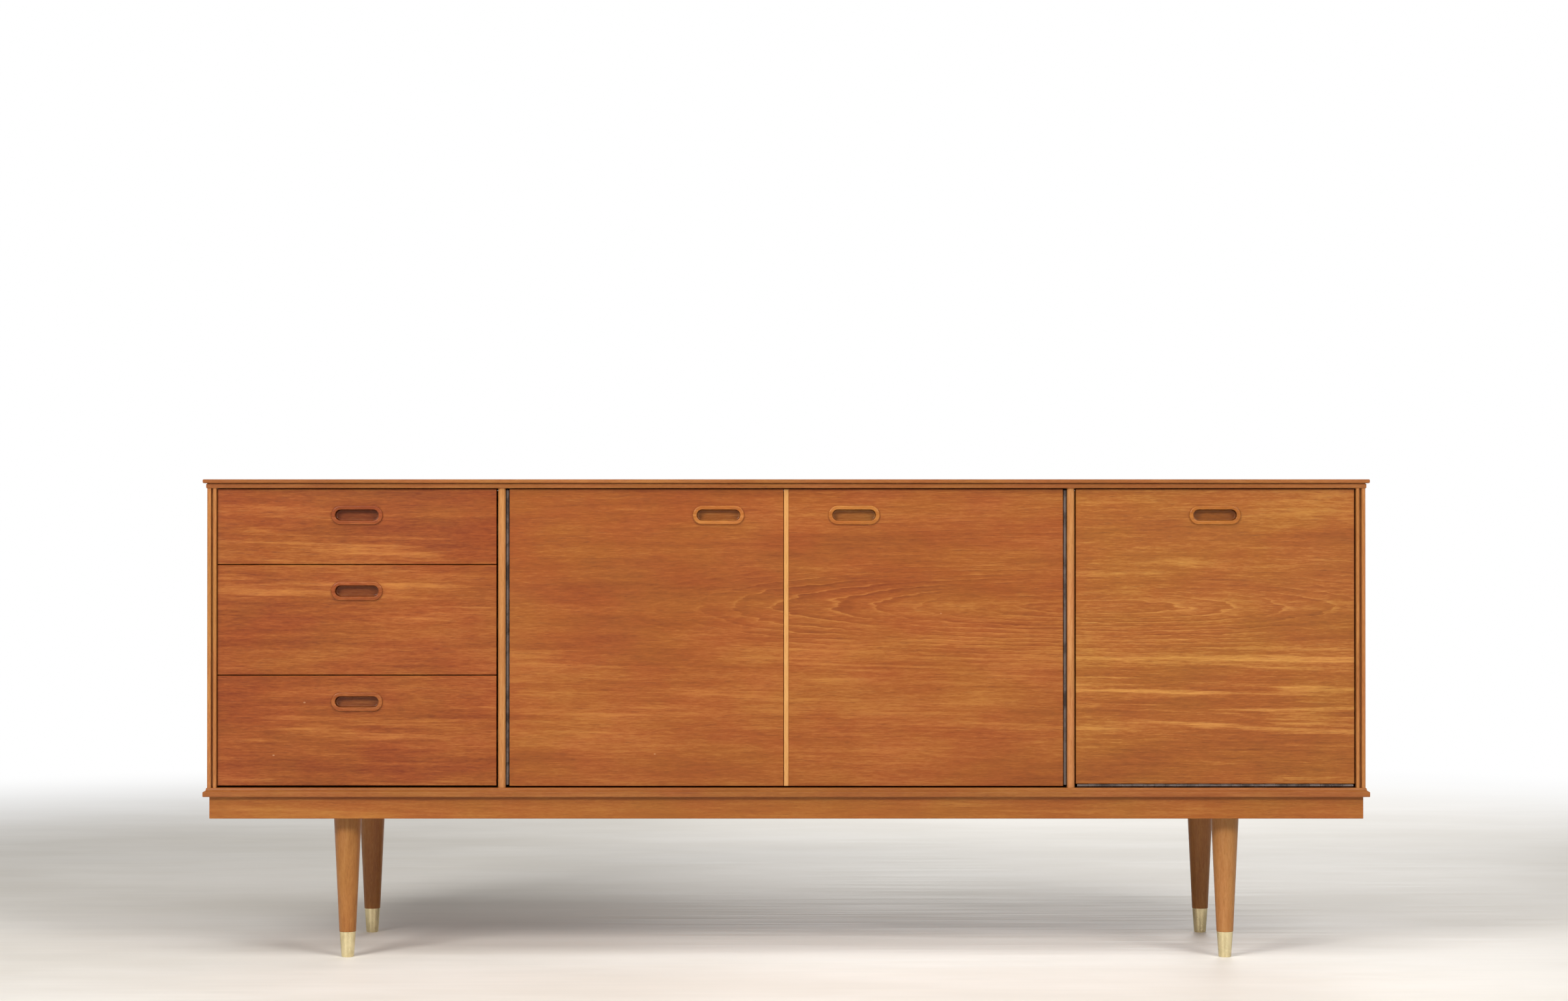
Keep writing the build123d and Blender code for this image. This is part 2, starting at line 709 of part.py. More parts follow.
def strike(x, name):
    """A catch's steel plate on the inner face of a door or the flap."""
    with BuildPart() as plate:
        slab((x - STRIKE_LENGTH / 2, x + STRIKE_LENGTH / 2), strike_y, strike_z)
        fillet(plate.edges().filter_by(Axis.Y), STRIKE)
    save(plate, name)


# ================================================================== flap stay
with BuildPart() as stay_bracket:
    reach = BRACKET_SCREW + BRACKET_END
    slab(bracket_x, (pin_y - BRACKET_WIDTH / 2, pin_y + BRACKET_WIDTH / 2), (pin_z - reach, pin_z + reach))
    fillet(stay_bracket.edges().filter_by(Axis.X), BRACKET_END / 2)
    with BuildSketch(Plane((bracket_x[0], pin_y, pin_z), z_dir=(-1, 0, 0))):
        Circle(STAY_PIN_R)
    extrude(amount=bracket_x[0] - arm_x[0] + PIN_HEAD_GAP + PIN_HEAD)
    with BuildSketch(Plane((arm_x[0] - PIN_HEAD_GAP, pin_y, pin_z), z_dir=(-1, 0, 0))):
        Circle(PIN_HEAD_R)
    extrude(amount=PIN_HEAD)
    screw_holes(bracket_places)
save(stay_bracket, "stay_bracket")

arm_plane = Plane(
    (arm_x[0], pivot_y, pivot_z), x_dir=(0, pin_y - pivot_y, pin_z - pivot_z), z_dir=(1, 0, 0)
)
with BuildPart() as stay_arm:
    with BuildSketch(arm_plane):
        with Locations((stay_open / 2, 0)):
            SlotCenterToCenter(stay_open, STAY_WIDTH)
        with Locations(((stay_shut + stay_open) / 2, 0)):
            SlotCenterToCenter(
                stay_open - stay_shut, 2 * (STAY_PIN_R + STAY_SLOT_CLEARANCE), mode=Mode.SUBTRACT
            )
        Circle(STAY_PIN_R + STAY_PIN_FIT, mode=Mode.SUBTRACT)
    extrude(amount=STAY_THICK)
save(stay_arm, "stay_arm")

tab_x = (arm_x[1] + PIN_HEAD_GAP, arm_x[1] + PIN_HEAD_GAP + BRACKET)
flap_bracket_places = [
    Plane(
        (tab_x[1] - FLAP_BRACKET_WIDTH / 2, front_back + BRACKET, pivot_z + sign * BRACKET_SCREW),
        z_dir=(0, 1, 0),
    )
    for sign in (-1, 1)
]
with BuildPart() as stay_pivot:
    reach = BRACKET_SCREW + BRACKET_END
    slab(
        (tab_x[1] - FLAP_BRACKET_WIDTH, tab_x[1]),
        (front_back, front_back + BRACKET),
        (pivot_z - reach, pivot_z + reach),
    )
    slab(tab_x, (front_back, pivot_y), (pivot_z - BRACKET_WIDTH / 2, pivot_z + BRACKET_WIDTH / 2))
    with BuildSketch(Plane((tab_x[0], pivot_y, pivot_z), z_dir=(1, 0, 0))):
        Circle(BRACKET_WIDTH / 2)
    extrude(amount=BRACKET)
    with BuildSketch(Plane((tab_x[0], pivot_y, pivot_z), z_dir=(-1, 0, 0))):
        Circle(STAY_PIN_R)
    extrude(amount=tab_x[0] - arm_x[0] + PIN_HEAD_GAP + PIN_HEAD)
    with BuildSketch(Plane((arm_x[0] - PIN_HEAD_GAP, pivot_y, pivot_z), z_dir=(-1, 0, 0))):
        Circle(PIN_HEAD_R)
    extrude(amount=PIN_HEAD)
    screw_holes(flap_bracket_places)
save(stay_pivot, "stay_pivot")

# ================================================================== handles
pocket_depth = HANDLE_RECESS - HANDLE_PROUD + HANDLE_FLOOR

with BuildPart() as handle_plug:
    with BuildSketch(Plane.XY):
        SlotOverall(HANDLE_LENGTH - 2 * HANDLE_LEDGE, HANDLE_HEIGHT - 2 * HANDLE_LEDGE)
    extrude(amount=-pocket_depth)

with BuildPart() as handle:
    with BuildSketch(Plane.XY):
        SlotOverall(HANDLE_LENGTH, HANDLE_HEIGHT)
    extrude(amount=HANDLE_PROUD)
    fillet(handle.faces().sort_by(Axis.Z)[-1].edges(), HANDLE_PROUD * RIM_ROUND)
    add(handle_plug.part)
    with BuildSketch(Plane.XY.offset(HANDLE_PROUD)):
        SlotOverall(HANDLE_LENGTH - 2 * HANDLE_RIM, HANDLE_HEIGHT - 2 * HANDLE_RIM)
    extrude(amount=-HANDLE_RECESS, mode=Mode.SUBTRACT)
    fillet(handle.faces().sort_by(Axis.Z)[-1].inner_wires()[0].edges(), MOUTH_ROUND)
    floor_face = handle.faces().filter_by(Plane.XY).sort_by(
        lambda face: abs(face.center().Z - (HANDLE_PROUD - HANDLE_RECESS))
    )[0]
    fillet(floor_face.edges(), FLOOR_ROUND)


def handle_place(x):
    """A handle's own frame on a front, Z outward; every front has its top at one height."""
    return Plane((x, front_face, front_top - HANDLE_DROP), x_dir=(1, 0, 0), z_dir=(0, -1, 0))


def save_handle(place, name):
    with BuildPart() as placed:
        with Locations(place):
            add(handle.part)
    save(placed, name)


def front_panel(x, z, place, places):
    """A drawer front, door or flap with its pocket for the handle and its screw holes."""
    with BuildPart() as panel:
        slab(x, (front_face, front_back), z)
        chamfer(panel.faces().sort_by(Axis.Y)[0].edges(), CREASE)
        with Locations(place):
            add(handle_plug.part, mode=Mode.SUBTRACT)
        if places:
            screw_holes(places)
    return panel


# ================================================================== drawers
drawer_middle = (drawer_x[0] + drawer_x[1]) / 2
base_x = (box_x[0] + DRAWER_SIDE - GROOVE, box_x[1] - DRAWER_SIDE + GROOVE)
inside_x = (box_x[0] + DRAWER_SIDE, box_x[1] - DRAWER_SIDE)
runner_groove = RUNNER_BITE + RUNNER_CLEARANCE

for name, z in drawer_z.items():
    box_z = (z[0] + DRAWER_LIFT, z[1] - DRAWER_FREEBOARD)
    base_z = (box_z[0] + BASE_HEIGHT, box_z[0] + BASE_HEIGHT + DRAWER_BASE)
    groove_z = (runner_z(z)[0] - RUNNER_CLEARANCE, runner_z(z)[1] + RUNNER_CLEARANCE)
    groove_y = (runner_y[0] - RUNNER_STOP, box_back)
    place = Plane((drawer_middle, front_face, z[1] - HANDLE_DROP), x_dir=(1, 0, 0), z_dir=(0, -1, 0))

    with BuildPart() as drawer_front:
        add(front_panel(drawer_x, z, place, []).part)
        slab(base_x, (front_back - GROOVE, front_back), base_z, Mode.SUBTRACT)
    save(drawer_front, f"{name}_front")
    save_handle(place, f"{name}_handle")

    with BuildPart() as drawer_sides:
        slab((box_x[0], inside_x[0]), (front_back, box_back), box_z)
        slab((inside_x[1], box_x[1]), (front_back, box_back), box_z)
        slab((box_x[0], box_x[0] + runner_groove), groove_y, groove_z, Mode.SUBTRACT)
        slab((box_x[1] - runner_groove, box_x[1]), groove_y, groove_z, Mode.SUBTRACT)
        slab(base_x, (front_back, box_back), base_z, Mode.SUBTRACT)
    save(drawer_sides, f"{name}_sides")

    with BuildPart() as drawer_back:
        slab(inside_x, (box_back - DRAWER_SIDE, box_back), (base_z[1], box_z[1] - DRAWER_BACK_DROP))
    save(drawer_back, f"{name}_back")

    with BuildPart() as drawer_base:
        slab(base_x, (front_back - GROOVE, box_back), base_z)
    save(drawer_base, f"{name}_base")

# ================================================================== doors
strip_half = MEETING_STRIP / 2
door_edge = centre_half - HINGE_GAP
door_x = {"left_door": (-door_edge, -strip_half - MEETING_GAP), "right_door": (strip_half, door_edge)}

for name, side in (("left_door", -1), ("right_door", 1)):
    key = name.removesuffix("_door")
    place = handle_place(side * DOOR_HANDLE_X)
    save(front_panel(door_x[name], door_z, place, hinge_places(key, 1)), f"{name}_panel")
    save_handle(place, f"{name}_handle")
    save(hinge_leaf(key, 1), f"{name}_hinge_leaf")
    strike(side * CATCH_FROM_EDGE, f"{name}_strike")
    with BuildPart() as leaf_screws:
        with Locations(*hinge_places(key, 1)):
            add(wood_screw.part)
    save(leaf_screws, f"{name}_screws")

with BuildPart() as meeting_strip:
    slab((-strip_half, strip_half), (front_face - MEETING_STRIP_PROUD, front_back), door_z)
    chamfer(meeting_strip.faces().sort_by(Axis.Y)[0].edges(), CREASE)
save(meeting_strip, "right_door_meeting_strip")

# ================================================================== flap
place = handle_place(flap_middle)
flap_screw_places = hinge_places("flap", 1) + flap_bracket_places
save(front_panel(flap_x, flap_z, place, flap_screw_places), "flap_panel")
save_handle(place, "flap_handle")
save(hinge_leaf("flap", 1), "flap_hinge_leaf")
strike(flap_middle, "flap_strike")

with BuildPart() as flap_screws:
    with Locations(*flap_screw_places):
        add(wood_screw.part)
save(flap_screws, "flap_screws")
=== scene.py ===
import math

import bpy
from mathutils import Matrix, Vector


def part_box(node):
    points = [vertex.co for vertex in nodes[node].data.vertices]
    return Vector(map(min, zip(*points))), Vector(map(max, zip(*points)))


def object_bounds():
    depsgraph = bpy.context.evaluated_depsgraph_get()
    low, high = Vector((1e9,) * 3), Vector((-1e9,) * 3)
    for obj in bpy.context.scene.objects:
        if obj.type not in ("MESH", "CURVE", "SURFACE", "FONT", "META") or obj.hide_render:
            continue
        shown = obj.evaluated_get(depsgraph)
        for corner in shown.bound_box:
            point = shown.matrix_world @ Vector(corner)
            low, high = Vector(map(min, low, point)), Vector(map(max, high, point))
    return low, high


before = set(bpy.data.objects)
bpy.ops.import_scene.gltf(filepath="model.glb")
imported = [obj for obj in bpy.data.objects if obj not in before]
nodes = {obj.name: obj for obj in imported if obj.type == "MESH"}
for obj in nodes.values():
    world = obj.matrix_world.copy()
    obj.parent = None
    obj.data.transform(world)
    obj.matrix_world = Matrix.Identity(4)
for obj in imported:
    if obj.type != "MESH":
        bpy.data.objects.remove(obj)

cad_low, cad_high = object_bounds()
WHITE = (1.0, 1.0, 1.0, 1.0)


# ---------------------------------------------------------------- node helpers
class Graph:
    """A material's node tree, with short calls that add one node each."""

    def __init__(self, name):
        self.material = bpy.data.materials.new(name)
        self.material.use_nodes = True
        self.tree = self.material.node_tree
        self.shader = self.tree.nodes["Principled BSDF"]

    def node(self, kind, inputs=None, **settings):
        made = self.tree.nodes.new(kind)
        for key, value in settings.items():
            setattr(made, key, value)
        for key, value in (inputs or {}).items():
            self.feed(made.inputs[key], value)
        return made

    def feed(self, socket, value):
        """Links a socket to another, or sets it to a number or a colour."""
        if isinstance(value, bpy.types.NodeSocket):
            self.tree.links.new(value, socket)
        else:
            socket.default_value = value

    def object_coordinates(self):
        return self.node("ShaderNodeTexCoord").outputs["Object"]

    def parts(self, vector):
        """The vector's outputs X, Y and Z."""
        return self.node("ShaderNodeSeparateXYZ", {0: vector}).outputs

    def length(self, vector):
        return self.node("ShaderNodeVectorMath", {0: vector}, operation="LENGTH").outputs["Value"]

    def mapping(self, vector, scale, location=(0, 0, 0), rotation=(0, 0, 0)):
        inputs = {"Vector": vector, "Scale": scale, "Location": location, "Rotation": rotation}
        return self.node("ShaderNodeMapping", inputs).outputs["Vector"]

    def noise(self, vector, scale, detail=3.0, roughness=0.5, distortion=0.0):
        inputs = {
            "Vector": vector,
            "Scale": scale,
            "Detail": detail,
            "Roughness": roughness,
            "Distortion": distortion,
        }
        return self.node("ShaderNodeTexNoise", inputs).outputs["Fac"]

    def math(self, operation, first, second=0.0, third=None):
        inputs = {0: first, 1: second}
        if third is not None:
            inputs[2] = third
        return self.node("ShaderNodeMath", inputs, operation=operation).outputs[0]

    def span(self, value, low, high, new_low=0.0, new_high=1.0):
        """Carries low..high to new_low..new_high along a smooth step, held at both ends."""
        inputs = {0: value, 1: low, 2: high, 3: new_low, 4: new_high}
        return self.node("ShaderNodeMapRange", inputs, interpolation_type="SMOOTHSTEP").outputs[0]

    def mix(self, factor, first, second, blend="MIX"):
        made = self.node("ShaderNodeMix", data_type="RGBA", blend_type=blend)
        self.feed(made.inputs[0], factor)
        self.feed(made.inputs[6], first)
        self.feed(made.inputs[7], second)
        return made.outputs[2]

    def bump(self, height, strength, distance):
        inputs = {"Height": height, "Strength": strength, "Distance": distance}
        return self.node("ShaderNodeBump", inputs).outputs["Normal"]


def linear(red, green, blue):
    """A colour given as sRGB from 0 to 255, as the shader wants it."""

    def channel(value):
        value = value / 255
        return value / 12.92 if value <= 0.04045 else ((value + 0.055) / 1.055) ** 2.4

    return (channel(red), channel(green), channel(blue), 1.0)


def scaled(colour, factor):
    """A lighter or darker colour, as opaque as before."""
    return tuple(channel * factor for channel in colour[:3]) + (1.0,)


# ---------------------------------------------------------------- wood
# turns that bring a board's grain onto X, from the axis it runs along
ALONG_X = (0, 0, 0)
ALONG_Y = (0, 0, math.radians(90))
ALONG_Z = (0, math.radians(90), 0)

LACQUER = 0.755  # how much of the wood's colour the aged lacquer lets through
BARE_WOOD = linear(214, 176, 134)  # what a nick in the lacquer shows

# growth rings, in metres
RING_SPACING = 0.0065
RING_STRETCH = 0.095  # a ring's width across the grain, as a share of its length along it
RING_SWAY = 0.030  # a slow push, so that no two rings run alike
RING_FEATHER = 0.0055  # a fine push, which frays their edges
EARLY_WOOD = 0.20  # how much lighter a ring is where it starts
LATE_WOOD = 0.13  # how much darker it is towards its end

# streaks along the grain, from broad to as fine as a fibre: how often the noise changes in a metre
# along the grain and across it, and how much it counts
STREAKS = (
    (1.1, 4.5, 0.55),
    (3.2, 13.0, 0.30),
    (2.6, 40.0, 0.36),
    (8.0, 150.0, 0.30),
    (34.0, 420.0, 0.34),
    (110.0, 950.0, 0.42),
)
RIBBON_SLANT = math.radians(-1.2)  # golden ribbons against the grain
RIBBON_LIGHT = 0.36  # how much lighter than the wood they are, at full strength

# the tones that wear the dark, the middle and the light colour
MIDDLE_TONE = 0.50
DARK_TONE = 0.22
LIGHT_TONE = 0.88

PORE_DARK = 0.45  # a pore's colour, as a share of the dark colour
PORE_SHOWN = 0.34
SHADOW_DARK = 0.10  # the darkest of a handle's recess, as a share of the dark colour


def mitred(g, at, offset, corner):
    """Grain that turns to run along Y past the mitre at a moulding's front corners."""
    place = g.parts(g.object_coordinates())
    from_end = g.math("SUBTRACT", corner[0], g.math("ABSOLUTE", place["X"]))
    from_front = g.math("SUBTRACT", place["Y"], corner[1])
    on_end = g.math("LESS_THAN", from_end, from_front)
    return g.mix(on_end, at, g.mapping(g.object_coordinates(), (1, 1, 1), offset, ALONG_Y))


def growth_rings(g, at, figure):
    """How much lighter or darker the rings make the wood. They are level lines round the heart."""
    sway = g.noise(g.mapping(at, (1.5, 5.0, 5.0)), 1.0, 2.0, 0.45)
    feather = g.noise(g.mapping(at, (22.0, 150.0, 150.0)), 1.0, 2.0, 0.5)
    radius = g.length(g.mapping(at, (RING_STRETCH, 1, 1)))
    rings = g.math("MULTIPLY_ADD", sway, RING_SWAY, radius)
    rings = g.math("MULTIPLY_ADD", feather, RING_FEATHER, rings)
    phase = g.math("FRACT", g.math("DIVIDE", rings, RING_SPACING))
    late = g.math("SUBTRACT", g.span(phase, 0.45, 0.93), g.span(phase, 0.93, 1.0))
    early = g.span(phase, 0.0, 0.24, 1.0, 0.0)
    line = g.math("SUBTRACT", g.math("MULTIPLY", early, EARLY_WOOD), g.math("MULTIPLY", late, LATE_WOOD))

    # they come and go in patches, and fade across the grain and along it from the heart
    patches = g.noise(g.mapping(at, (3.0, 9.0, 9.0), (3, 1, 7)), 1.0, 2.0)
    shown = g.span(patches, 0.36, 0.60, 0.15, 1.0)
    shown = g.math("MULTIPLY", shown, g.span(radius, 0.045, 0.11, 1.0, 0.30))
    from_heart = g.math("ABSOLUTE", g.parts(at)["X"])
    shown = g.math("MULTIPLY", shown, g.span(from_heart, 0.46, 0.62, 1.0, 0.4))
    return g.math("MULTIPLY", line, g.math("MULTIPLY", shown, figure))


def streaked(g, at, tone, strength):
    """The tone with the streaks along the grain added."""
    for number, (lengthwise, across, weight) in enumerate(STREAKS):
        layer = g.noise(g.mapping(at, (lengthwise, across, across), (number, 0, 0)), 1.0, 3.0, 0.55)
        tone = g.math("MULTIPLY_ADD", g.math("SUBTRACT", layer, 0.5), weight * strength, tone)
    return tone


def golden_ribbons(g, at, glow):
    """Where the golden ribbons are, from 0 to 1."""
    slanted = g.mapping(at, (1, 1, 1), (5, 2, 3), (0, RIBBON_SLANT, RIBBON_SLANT))
    band = g.span(g.noise(g.mapping(slanted, (2.6, 95.0, 95.0)), 1.0, 3.0, 0.6, 0.3), 0.48, 0.68)
    patch = g.span(g.noise(g.mapping(at, (2.4, 7.0, 7.0), (1, 4, 2)), 1.0, 2.0), 0.44, 0.62)
    if glow:
        height, reach = glow
        away = g.math("ABSOLUTE", g.math("SUBTRACT", g.parts(g.object_coordinates())["Z"], height))
        near = g.span(away, 0.3 * reach, reach, 1.0, 0.0)
        patch = g.math("MULTIPLY_ADD", near, 0.7, g.math("MULTIPLY", patch, 0.4))
    return g.math("MULTIPLY", band, patch)


def nicked(g, at, colour, wear):
    """The colour with rare small nicks in the lacquer, in about one cell of the pattern in fifteen."""
    cells = g.node("ShaderNodeTexVoronoi", {"Vector": g.mapping(at, (20.0, 34.0, 34.0)), "Scale": 1.0})
    spot = g.span(cells.outputs["Distance"], 0.02, 0.05, 1.0, 0.0)
    pick = g.node("ShaderNodeSeparateColor", {0: cells.outputs["Color"]}).outputs[0]
    nick = g.math("MULTIPLY", g.math("MULTIPLY", spot, g.span(pick, 0.93, 0.94)), wear)
    return g.mix(nick, colour, BARE_WOOD)


def paint_recess_shade(g, colour, shadow, mouth, depth):
    """The colour with painted shade, and some grime, on the walls of a handle's recess, most on those
    that face down.
    """
    place = g.parts(g.object_coordinates())["Y"]
    facing = g.parts(g.node("ShaderNodeTexCoord").outputs["Normal"])
    wall = g.span(g.math("MULTIPLY", facing["Y"], -1.0), 0.35, 0.95, 1.0, 0.30)
    # walls that face down lie under the rim, out of the light from above, and get the most painted shade
    under = g.span(facing["Z"], -0.9, 0.6, 1.0, 0.45)
    shade_and_grime = g.math("MULTIPLY", g.span(place, mouth, depth), g.math("MULTIPLY", wall, under))
    return g.mix(shade_and_grime, colour, shadow)


def wood(
    name,
    colours,
    along=ALONG_X,
    heart=(0, 0, 0),
    figure=1.0,
    ribbon=0.5,
    wear=0.3,
    gloss=0.34,
    streak=1.0,
    glow=None,
    recess=None,
    mitre=None,
):
    """Lacquered wood with its grain along one axis.

    colours: dark, middle and light.
    heart: the middle of the growth rings, in metres along the grain and across it.
    figure: how much the rings show.
    ribbon: how much the broad golden ribbons show.
    wear: how much the small pale nicks show.
    gloss: the roughness of the lacquer, lower for glossier.
    streak: how strong the streaks along the grain are.
    glow: the height that the ribbons gather round, and how far they spread from it.
    recess: the Y of a handle's mouth, and the Y where the shade painted on its walls is darkest.
    mitre: the X and Y of a moulding's front corner, where its grain turns to run along Y.
    """
    g = Graph(name)
    dark, middle, light = [scaled(colour, LACQUER) for colour in colours]
    offset = tuple(-value for value in heart)
    at = g.mapping(g.object_coordinates(), (1, 1, 1), offset, along)
    if mitre:
        at = mitred(g, at, offset, mitre)

    tone = g.math("ADD", growth_rings(g, at, figure), MIDDLE_TONE)
    tone = streaked(g, at, tone, streak)
    tone = g.math("MULTIPLY_ADD", golden_ribbons(g, at, glow), RIBBON_LIGHT * ribbon, tone)
    ramp = g.node("ShaderNodeValToRGB", {0: tone})
    first, last = ramp.color_ramp.elements
    first.position = DARK_TONE
    first.color = dark
    last.position = LIGHT_TONE
    last.color = light
    ramp.color_ramp.elements.new(MIDDLE_TONE).color = middle

    # patches that are redder or yellower than their surroundings, no darker
    patches = g.noise(g.mapping(at, (7.0, 18.0, 18.0), (2, 9, 4)), 1.0, 3.0, 0.55)
    tint = g.node("ShaderNodeHueSaturation", {"Hue": g.span(patches, 0.3, 0.7, 0.4965, 0.5045)})
    g.feed(tint.inputs["Color"], ramp.outputs[0])

    pore = g.span(g.noise(g.mapping(at, (48.0, 1500.0, 1500.0)), 1.0, 2.0, 0.5), 0.60, 0.72)
    pore_colour = scaled(dark, PORE_DARK)
    colour = g.mix(g.math("MULTIPLY", pore, PORE_SHOWN), tint.outputs["Color"], pore_colour)
    colour = nicked(g, at, colour, wear)
    # painted shade, with some grime, on the walls of a handle's recess
    if recess:
        colour = paint_recess_shade(g, colour, scaled(dark, SHADOW_DARK), *recess)
    g.feed(g.shader.inputs["Base Color"], colour)

    # lacquer that handling has dulled here and there, and pores that it doesn't fill
    smudge = g.noise(g.mapping(at, (5.0, 9.0, 9.0)), 1.0, 4.0, 0.6)
    rough = g.span(smudge, 0.35, 0.65, gloss - 0.02, gloss + 0.05)
    g.feed(g.shader.inputs["Roughness"], g.math("MULTIPLY_ADD", pore, 0.12, rough))
    fibre = g.noise(g.mapping(at, (40.0, 700.0, 700.0)), 1.0, 3.0, 0.6)
    height = g.math("MULTIPLY_ADD", pore, -0.7, g.math("MULTIPLY", fibre, 0.6))
    g.feed(g.shader.inputs["Normal"], g.bump(height, 0.22, 0.0003))
    g.shader.inputs["Coat Weight"].default_value = 0.06
    g.shader.inputs["Coat Roughness"].default_value = 0.25
    g.shader.inputs["Specular IOR Level"].default_value = 0.22
    return g.material


# dark, middle and light of each wood
TEAK = (linear(130, 62, 22), linear(160, 86, 33), linear(200, 130, 62))
TEAK_RED = (linear(118, 50, 18), linear(156, 80, 31), linear(198, 124, 60))
TEAK_GOLD = (linear(134, 70, 26), linear(165, 95, 37), linear(210, 146, 72))
RIM = (linear(138, 72, 28), linear(176, 102, 42), linear(208, 140, 72))
RIM_RED = (linear(118, 54, 24), linear(152, 76, 34), linear(196, 122, 66))
LIPPING = (linear(130, 66, 28), linear(158, 92, 41), linear(194, 130, 70))
LIPPING_EDGE = (linear(152, 86, 40), linear(186, 120, 62), linear(216, 156, 94))
LIPPING_PALE = (linear(158, 92, 46), linear(194, 128, 72), linear(222, 162, 104))
PALE = (linear(206, 142, 76), linear(222, 164, 96), linear(236, 186, 120))
LEG = (linear(150, 90, 42), linear(180, 120, 62), linear(204, 148, 90))
INSIDE = (linear(118, 66, 34), linear(146, 90, 50), linear(176, 120, 74))
BEECH = (linear(196, 152, 100), linear(212, 172, 122), linear(226, 192, 146))
PLY = (linear(172, 126, 80), linear(192, 148, 100), linear(210, 170, 124))

# The fronts share one heart, a little above the doors' middle and just past the right door, so that
# their figure runs on from one to the next. The top has its own. The hearts written as plain
# numbers further down lie outside their pieces, which therefore show nearly straight grain.
door_low, door_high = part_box("right_door_panel")
top_low, top_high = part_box("top_panel")
handle_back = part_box("right_door_handle")[1].y
door_height = door_high.z - door_low.z
FRONT_HEART = (door_high.x + 0.06, door_low.y + 0.009, door_low.z + 0.60 * door_height)
TOP_HEART = (-0.15, 0.35 * top_low.y, top_high.z - 0.03)
FRONT_GLOW = (door_low.z + 0.31 * door_height, 0.11)
# from the handles' mouth to the depth where the shade painted on their recess walls is darkest
RECESS_SHADE = (door_low.y, handle_back - 0.008)
FRONT_CORNER = (cad_high.x, cad_low.y)

front_wood = wood(
    "front_veneer",
    TEAK,
    heart=FRONT_HEART,
    ribbon=0.38,
    wear=0.6,
    streak=0.9,
    glow=FRONT_GLOW,
)
drawer_wood = wood("drawer_veneer", TEAK_RED, heart=FRONT_HEART, figure=0.5, ribbon=0.6)
flap_wood = wood(
    "flap_veneer",
    TEAK_GOLD,
    heart=FRONT_HEART,
    figure=0.8,
    ribbon=0.95,
    wear=0.4,
    glow=FRONT_GLOW,
)
apron_wood = wood(
    "apron_veneer",
    TEAK_GOLD,
    heart=(0.2, 0, 0.9),
    figure=0.15,
    ribbon=0.25,
    wear=0.8,
    streak=0.6,
)
top_wood = wood("top_veneer", TEAK, heart=TOP_HEART, figure=0.9, wear=0.4)
side_wood = wood("side_veneer", TEAK, ALONG_Z, (0.45, 0.02, 0.03), figure=0.9)
lipping_wood = wood(
    "lipping_wood",
    LIPPING,
    heart=(0.5, 0.6, 0.8),
    figure=0.15,
    ribbon=0.3,
    wear=0.8,
    streak=0.7,
    mitre=FRONT_CORNER,
)
edge_lipping = wood("edge_lipping_wood", LIPPING_EDGE, ALONG_Z, (0.3, 0.5, 0.1), figure=0.1)
divider_lipping = wood("divider_lipping_wood", LIPPING_PALE, ALONG_Z, (0.2, 0.6, 0.1), figure=0.1)
pale_wood = wood("pale_wood", PALE, ALONG_Z, (0.4, 0.7, 0.3), figure=0.1, ribbon=0.3)
handle_wood = wood("handle_wood", RIM, heart=(0.33, 0.1, 0.2), figure=0.2, gloss=0.24, recess=RECESS_SHADE)
drawer_handle_wood = wood(
    "drawer_handle_wood",
    RIM_RED,
    heart=(0.3, 0.1, 0.2),
    figure=0.2,
    gloss=0.24,
    recess=RECESS_SHADE,
)
leg_wood = wood("leg_wood", LEG, ALONG_Z, (0.6, 0.3, 0.1), figure=0.3, ribbon=0.4)

# inside the case nothing is nicked, and the lacquer or wax is duller
THIN_LACQUER = {"figure": 0.5, "ribbon": 0.3, "wear": 0.0, "gloss": 0.5}
inside_wood = wood("inside_veneer", INSIDE, ALONG_X, (0.4, 0.2, 0.9), **THIN_LACQUER)
inside_upright = wood("inside_veneer_upright", INSIDE, ALONG_Z, (0.1, 0.3, 0.3), **THIN_LACQUER)
WAXED = {"figure": 0.2, "ribbon": 0.3, "wear": 0.0, "gloss": 0.55}
beech_wood = wood("beech", BEECH, ALONG_Y, (0.2, 0.6, 0.1), **WAXED)
beech_across = wood("beech_across", BEECH, ALONG_X, (0.2, 0.6, 0.1), **WAXED)
UNFINISHED = {"figure": 0.6, "ribbon": 0.2, "wear": 0.0, "gloss": 0.6}
ply_wood = wood("plywood", PLY, ALONG_X, (0.2, 0.3, 0.2), **UNFINISHED)


# ---------------------------------------------------------------- metal and plastic
def metal(name, clean, dull, roughness, grain, patina):
    """Metal with a brushed or drawn surface and patches of tarnish.

    grain: how often the brushing changes in a metre along X, Y and Z.
    patina: how much of the dull colour the tarnished patches show.
    """
    g = Graph(name)
    coordinates = g.object_coordinates()
    patch = g.noise(coordinates, 38.0, 4.0, 0.6)
    speck = g.noise(coordinates, 420.0, 2.0, 0.5)
    brush = g.noise(g.mapping(coordinates, grain), 1.0, 2.0, 0.5)
    tarnish = g.math("MULTIPLY", g.span(patch, 0.42, 0.66), patina)
    tarnish = g.math("ADD", tarnish, g.math("MULTIPLY", g.span(speck, 0.62, 0.75), patina * 0.6))
    g.feed(g.shader.inputs["Base Color"], g.mix(tarnish, clean, dull))
    rough = g.span(brush, 0.3, 0.7, roughness - 0.06, roughness + 0.08)
    g.feed(g.shader.inputs["Roughness"], g.math("MULTIPLY_ADD", tarnish, 0.2, rough))
    g.feed(g.shader.inputs["Normal"], g.bump(brush, 0.15, 0.0001))
    g.shader.inputs["Metallic"].default_value = 1.0
    return g.material


